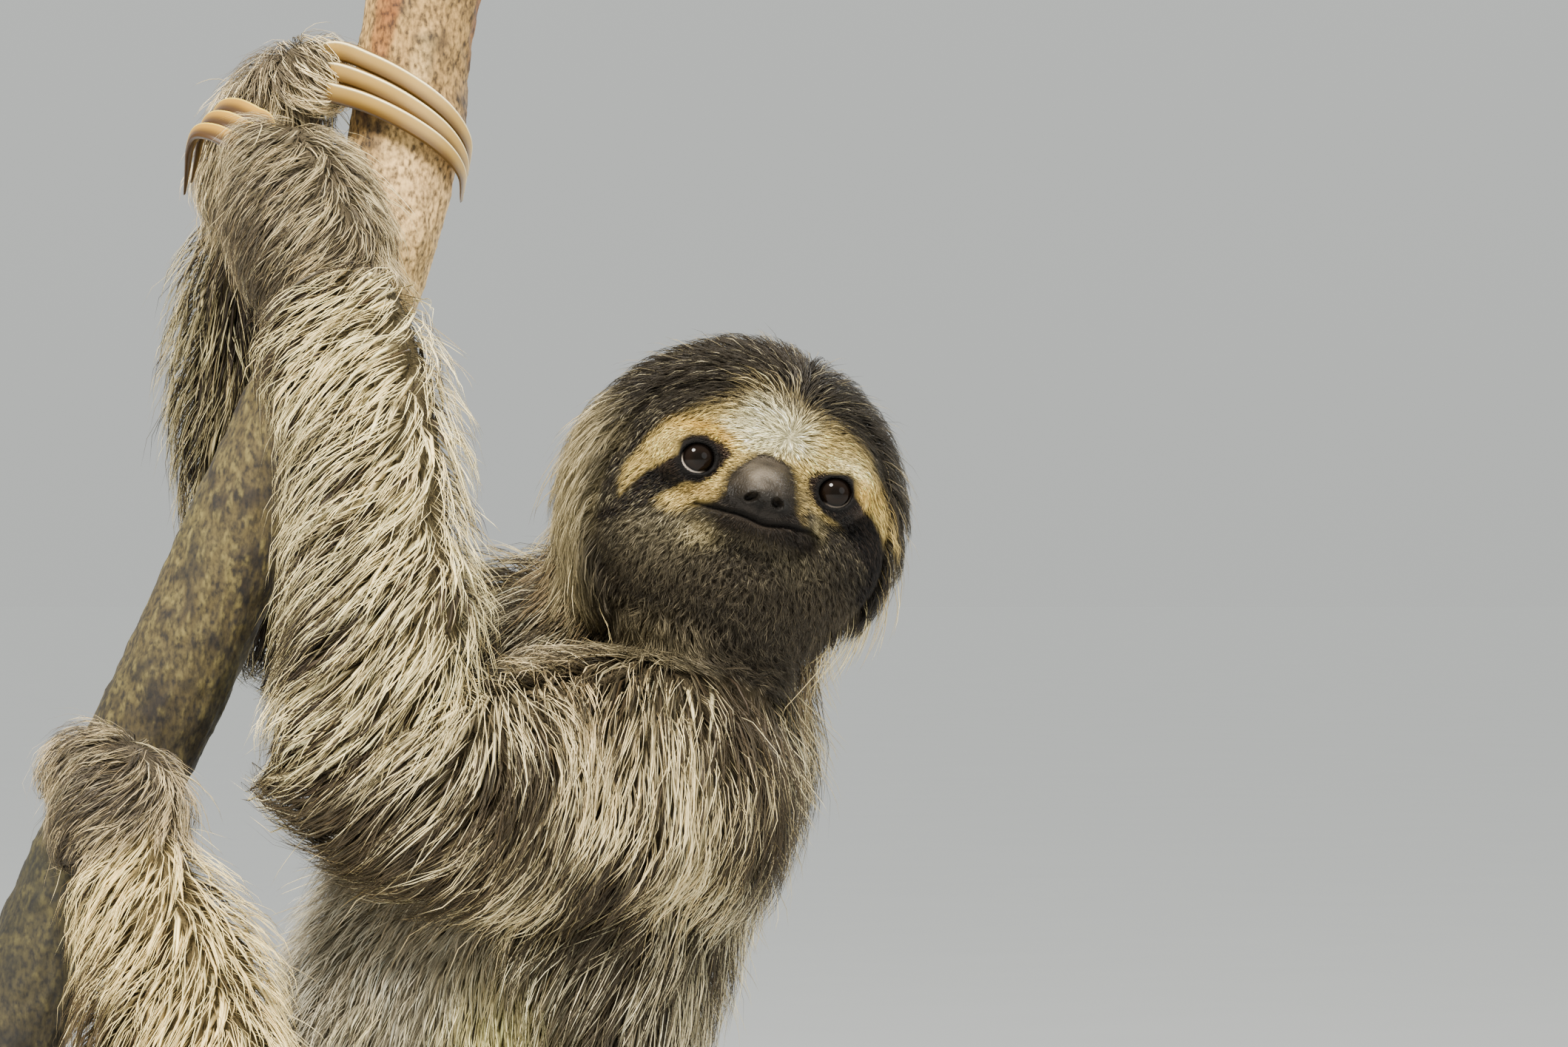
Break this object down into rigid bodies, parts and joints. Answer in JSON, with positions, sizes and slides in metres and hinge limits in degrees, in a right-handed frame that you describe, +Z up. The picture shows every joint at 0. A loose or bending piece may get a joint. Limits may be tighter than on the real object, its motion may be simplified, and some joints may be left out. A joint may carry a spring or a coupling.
{
  "type": "three-toed sloth",
  "caption": "Life-size shaggy three-toed sloth that clings to a leaning bough and faces sideways, held on a plain display stand.",
  "frame": {"origin": "centre of the underside of the display stand's base", "axes": "+Z up; -Y to the side that the face looks at, with the animal's left flank; -X to the side of the bough, where the belly is; +X to the back"},
  "size_m": [0.43, 0.3, 0.6136],
  "materials": {
    "coat": "long coarse hair with dark roots and straw tips",
    "pale_coat": "long coarse hair, straw and cream over dark brown",
    "dark_coat": "dense brown hair with paler tips",
    "belly_coat": "grey-brown hair",
    "nose": "bare black skin, slightly moist",
    "eye": "wet and glossy",
    "claw": "horn, smooth with a dull shine",
    "bark": "rough mottled bark",
    "board": "dark stained wood, satin",
    "steel": "black satin"
  },
  "bodies": {
    "root": {"head": "dark_coat", "neck": "dark_coat", "nose": "nose", "left_eye": "eye", "right_eye": "eye", "chest": "coat", "abdomen": "belly_coat", "tail": "coat", "near_upper_arm": "coat", "far_upper_arm": "coat", "near_forearm": "pale_coat", "far_forearm": "pale_coat", "near_hand": "coat", "far_hand": "coat", "near_thigh": "coat", "far_thigh": "coat", "near_shin": "pale_coat", "far_shin": "pale_coat", "near_foot": "coat", "far_foot": "coat", "near_hand_claw_1": "claw", "near_hand_claw_2": "claw", "near_hand_claw_3": "claw", "far_hand_claw_1": "claw", "far_hand_claw_2": "claw", "far_hand_claw_3": "claw", "near_foot_claw_1": "claw", "near_foot_claw_2": "claw", "near_foot_claw_3": "claw", "far_foot_claw_1": "claw", "far_foot_claw_2": "claw", "far_foot_claw_3": "claw", "perch_bough": "bark", "stand_base": "board", "stand_rod": "steel", "stand_flange": "steel"}
  },
  "joints": []
}
